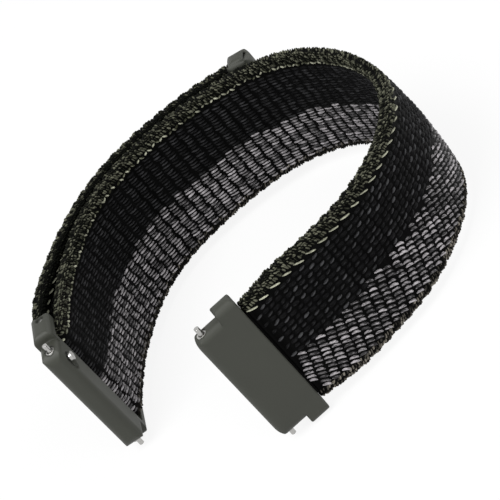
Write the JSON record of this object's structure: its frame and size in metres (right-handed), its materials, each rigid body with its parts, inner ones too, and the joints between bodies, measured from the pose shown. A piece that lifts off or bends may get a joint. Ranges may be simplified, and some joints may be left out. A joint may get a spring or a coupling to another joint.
{
  "type": "nylon loop watch band",
  "caption": "Woven nylon watch band in a closed loop: one fixed adapter, one slide-through adapter, quick-release spring bars and a hook-and-loop free end with a tab.",
  "frame": {"origin": "middle of the bounding box in plan, at the lowest point of the adapters' shoulders", "axes": "+Z along the strap's width towards the green edge, X and Y in the plane of the loop, +Y towards the doubled part of the strap"},
  "size_m": [0.0654, 0.06, 0.0252],
  "materials": {
    "core_yarn": "matt woven nylon",
    "black_yarn": "matt woven nylon",
    "grey_yarn": "woven nylon with a slight sheen",
    "green_edge_yarn": "bumpy knitted braid",
    "far_edge_yarn": "knitted edge",
    "accent_yarn": "light zigzag yarn",
    "hook_plastic": "matt hooks",
    "adapter_plastic": "satin moulded plastic",
    "bar_steel": "bright drawn steel"
  },
  "bodies": {
    "band": {"strap_core": "core_yarn", "strap_black_wrist": "black_yarn", "strap_grey_wrist": "grey_yarn", "strap_black_outside": "black_yarn", "strap_grey_outside": "grey_yarn", "strap_green_edge": "green_edge_yarn", "strap_far_edge": "far_edge_yarn", "strap_accent_yarn": "accent_yarn", "fixed_frame": "adapter_plastic", "clamp_pin": "bar_steel", "fixed_bar_barrel": "bar_steel", "fixed_bar_fixed_tip": "bar_steel", "fixed_bar_spring": "bar_steel"},
    "fixed_release": {"fixed_bar_sliding_tip": "bar_steel", "fixed_bar_lever": "bar_steel"},
    "slide_adapter": {"slide_frame": "adapter_plastic", "slide_rod": "bar_steel", "slide_bar_barrel": "bar_steel", "slide_bar_fixed_tip": "bar_steel", "slide_bar_spring": "bar_steel"},
    "slide_release": {"slide_bar_sliding_tip": "bar_steel", "slide_bar_lever": "bar_steel"},
    "free_end": {"free_core": "core_yarn", "free_black_faces": "black_yarn", "free_grey_faces": "grey_yarn", "free_green_edge": "green_edge_yarn", "free_far_edge": "far_edge_yarn", "free_accent_yarn": "accent_yarn", "hook_patch": "hook_plastic", "end_tab": "adapter_plastic"}
  },
  "joints": [
    {"name": "slide_adapter_pivot", "type": "hinge", "parent": "band", "child": "slide_adapter", "pos_m": [-0.02942, 0.00128, 0.0126], "axis": [0, 0, 1], "range_deg": [-40, 40]},
    {"name": "free_end_peel", "type": "hinge", "parent": "band", "child": "free_end", "pos_m": [-0.00622, 0.02943, 0.0126], "axis": [0, 0, 1], "range_deg": [0, 60]},
    {"name": "fixed_release_slide", "type": "slide", "parent": "band", "child": "fixed_release", "axis": [0, 0, -1], "range_m": [0, 0.0013], "stiffness_N_per_m": 300, "springref_m": -0.002, "deforming": ["fixed_bar_spring"]},
    {"name": "slide_release_slide", "type": "slide", "parent": "slide_adapter", "child": "slide_release", "axis": [0, 0, -1], "range_m": [0, 0.0013], "stiffness_N_per_m": 300, "springref_m": -0.002, "deforming": ["slide_bar_spring"]}
  ]
}
